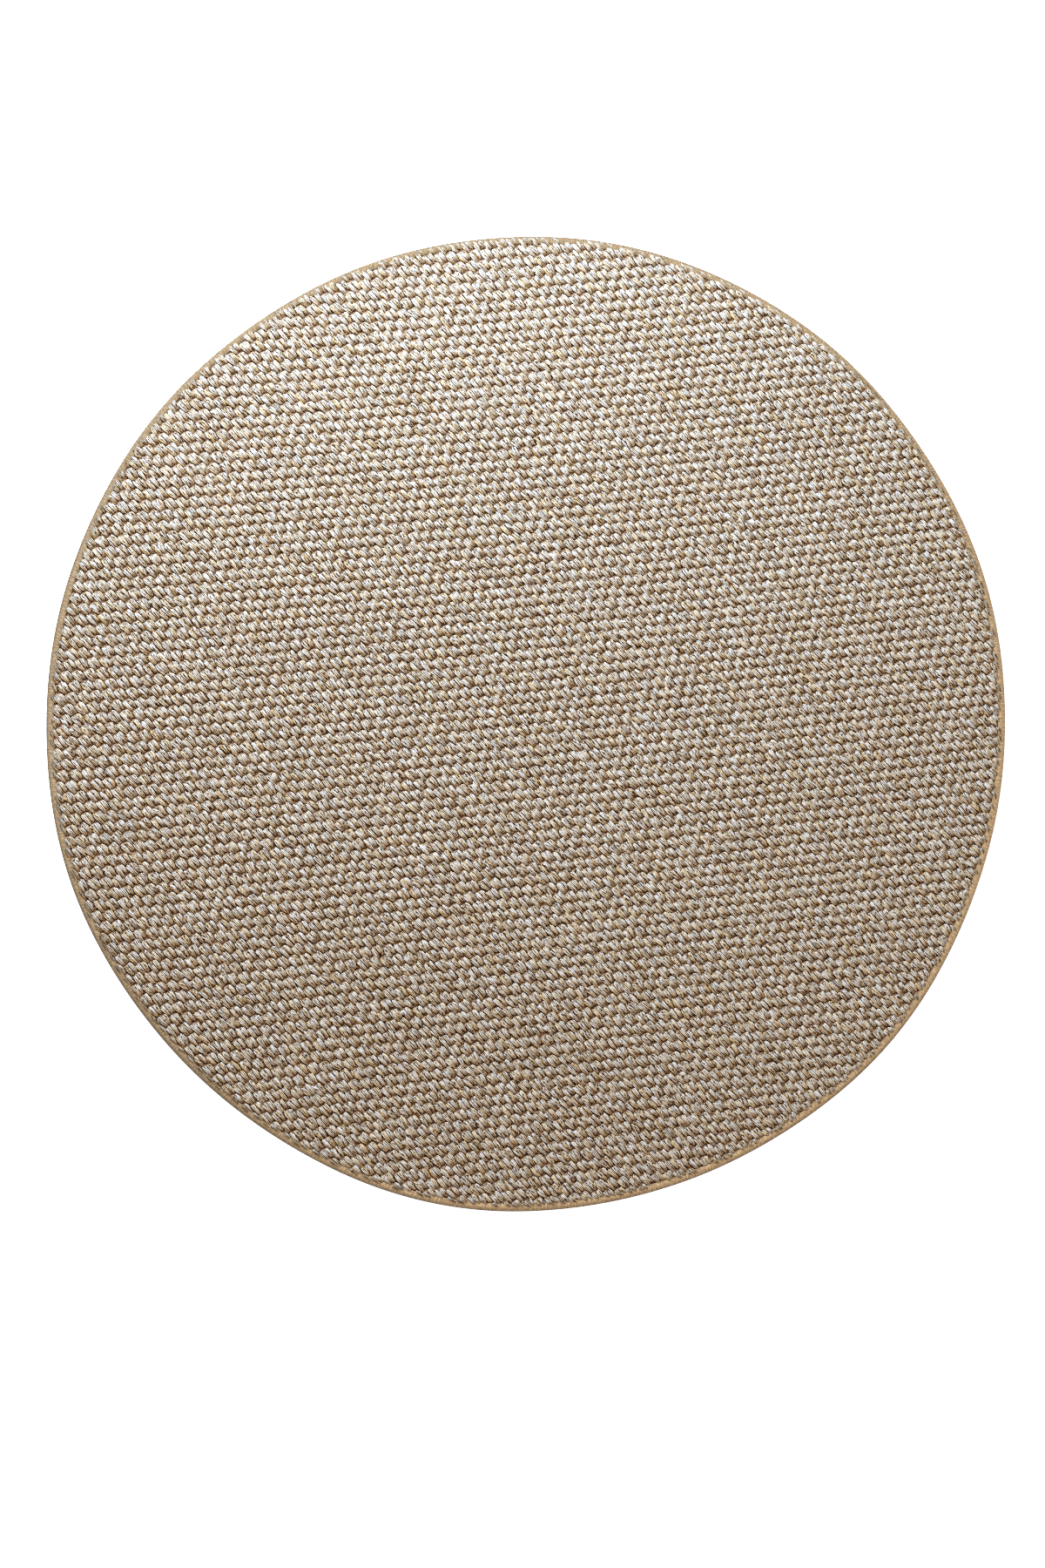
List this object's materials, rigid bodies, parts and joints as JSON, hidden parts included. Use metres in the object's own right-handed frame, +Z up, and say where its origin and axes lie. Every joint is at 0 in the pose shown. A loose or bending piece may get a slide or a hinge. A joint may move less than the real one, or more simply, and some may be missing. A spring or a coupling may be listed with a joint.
{
  "type": "round sisal rug",
  "caption": "Round flat rug of looped sisal yarn in slanting rows, with an overlocked edge.",
  "frame": {"origin": "on the floor under the middle of the rug's outline", "axes": "+Z up through the rug; +X to the right and +Y away from a person who looks at the rows as pictured"},
  "size_m": [0.9922, 1.0184, 0.0161],
  "materials": {
    "sisal_cloth": "looped sisal yarn, matte",
    "edge_yarn": "overlock yarn, matte"
  },
  "bodies": {
    "root": {"rug_cloth": "sisal_cloth", "edge_binding": "edge_yarn"}
  },
  "joints": []
}
